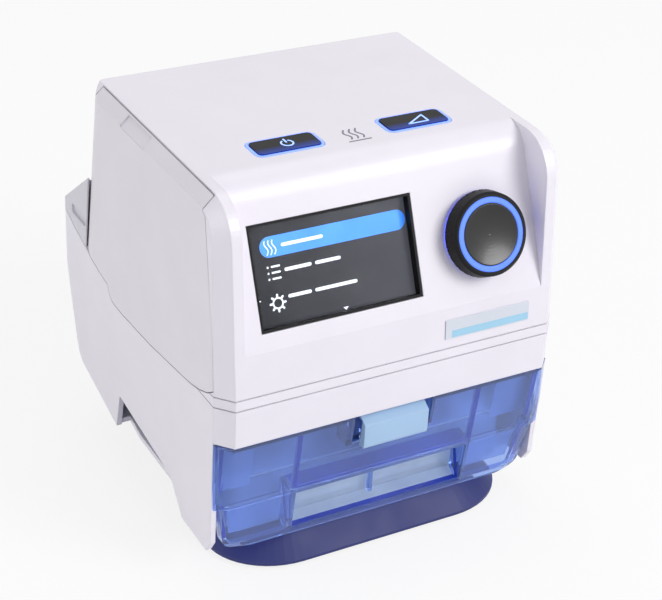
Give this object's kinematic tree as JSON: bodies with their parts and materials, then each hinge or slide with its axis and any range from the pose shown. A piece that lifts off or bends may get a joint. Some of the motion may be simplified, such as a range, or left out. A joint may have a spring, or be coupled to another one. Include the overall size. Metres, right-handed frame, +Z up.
{
  "type": "cpap machine with heated humidifier",
  "caption": "Bedside breathing-therapy unit: screen, dial and keys above a drawer-type heated water chamber with a press latch, hose port at the rear.",
  "frame": {"origin": "middle of the whole part's footprint box, on the table, half way from the latch's face to the hose port's end", "axes": "+Z up, -Y out of the front with the screen, +X to the right of someone facing the front"},
  "size_m": [0.16, 0.1972, 0.1758],
  "materials": {
    "white_shell": "satin pearl white moulding",
    "side_shell": "fine matt pale moulding",
    "grey_moulding": "satin grey moulding",
    "navy_tray": "satin navy moulding",
    "blue_clear": "clear blue moulding",
    "latch_blue": "glossy pale blue",
    "black_gloss": "glossy black",
    "black_matt": "matt black",
    "lit_blue": "blue light guide",
    "screen_glass": "clear flat window",
    "plate_silver": "brushed",
    "board_green": "solder mask",
    "bright_aluminium": "bright",
    "steel": "turned",
    "winding": "enamelled copper winding",
    "white_moulding": "natural white",
    "soft_rubber": "matt",
    "silicone": "translucent white silicone",
    "foam": "open-cell foam",
    "filter_fleece": "white fleece"
  },
  "bodies": {
    "base": {"lower_casing": "white_shell", "rear_housing": "side_shell", "base_tray": "navy_tray", "rubber_feet": "soft_rubber", "chamber_runners": "grey_moulding", "heater_plate": "bright_aluminium", "heater_pad": "winding", "heater_mounts": "soft_rubber", "air_manifold": "grey_moulding", "port_seals": "silicone", "coupling_seal": "silicone", "hose_port": "grey_moulding", "power_inlet": "black_matt", "power_board": "board_green", "lower_connector": "black_matt", "casing_screws": "steel"},
    "blower_unit": {"top_cover": "white_shell", "left_side_cover": "side_shell", "right_side_cover": "side_shell", "rear_cover": "side_shell", "chassis": "white_shell", "screen_bezel": "black_matt", "display_lens": "screen_glass", "lcd_module": "black_matt", "display_board": "board_green", "main_board": "board_green", "name_plate": "plate_silver", "encoder_body": "steel", "dial_light_ring": "lit_blue", "button_frames": "lit_blue", "button_board": "board_green", "tactile_switches": "steel", "volute": "grey_moulding", "volute_cover": "grey_moulding", "motor_housing": "bright_aluminium", "motor_stator": "winding", "motor_bearings": "steel", "blower_mounts": "soft_rubber", "muffler_foam": "foam", "intake_filter": "filter_fleece", "outlet_duct": "grey_moulding", "upper_connector": "black_matt"},
    "power_key": {"power_button": "black_gloss"},
    "ramp_key": {"ramp_button": "black_gloss"},
    "dial_plunger": {"encoder_plunger": "black_matt"},
    "dial": {"encoder_shaft": "steel", "dial_skirt": "black_matt", "dial_ring": "lit_blue", "dial_cap": "black_gloss"},
    "rotor": {"impeller": "white_moulding", "motor_shaft": "steel"},
    "filter_door": {"filter_cover": "side_shell"},
    "chamber": {"chamber_front": "blue_clear", "chamber_tub": "blue_clear", "chamber_lid": "blue_clear", "lid_seal": "silicone", "chamber_base": "bright_aluminium", "chamber_baffle": "blue_clear", "latch_spring": "steel"},
    "latch": {"chamber_latch": "latch_blue"}
  },
  "joints": [
    {"name": "unit_lift", "type": "slide", "parent": "base", "child": "blower_unit", "axis": [0, -0.134, 0.991], "range_m": [0, 0.04]},
    {"name": "chamber_slide", "type": "slide", "parent": "base", "child": "chamber", "axis": [0, -1, 0], "range_m": [0, 0.11]},
    {"name": "latch_press", "type": "slide", "parent": "chamber", "child": "latch", "axis": [0, 0, -1], "range_m": [0, 0.0024], "stiffness_N_per_m": 900, "springref_m": -0.001, "deforming": ["latch_spring"]},
    {"name": "power_press", "type": "slide", "parent": "blower_unit", "child": "power_key", "axis": [0, 0, -1], "range_m": [0, 0.0008], "stiffness_N_per_m": 2000, "springref_m": -0.0004},
    {"name": "ramp_press", "type": "slide", "parent": "blower_unit", "child": "ramp_key", "axis": [0, 0, -1], "range_m": [0, 0.0008], "stiffness_N_per_m": 2000, "springref_m": -0.0004},
    {"name": "dial_press", "type": "slide", "parent": "blower_unit", "child": "dial_plunger", "axis": [0, 0.9232, -0.3843], "range_m": [0, 0.0008], "stiffness_N_per_m": 3000, "springref_m": -0.0004},
    {"name": "dial_turn", "type": "hinge", "parent": "dial_plunger", "child": "dial", "pos_m": [0.0428, -0.08354, 0.13777], "axis": [0, -0.9232, 0.3843], "continuous": true},
    {"name": "rotor_spin", "type": "hinge", "parent": "blower_unit", "child": "rotor", "pos_m": [0.01, 0.00364, 0.11], "axis": [0, 0, 1], "continuous": true},
    {"name": "filter_door_pull", "type": "slide", "parent": "blower_unit", "child": "filter_door", "axis": [0, 0.991, 0.134], "range_m": [0, 0.02]}
  ]
}
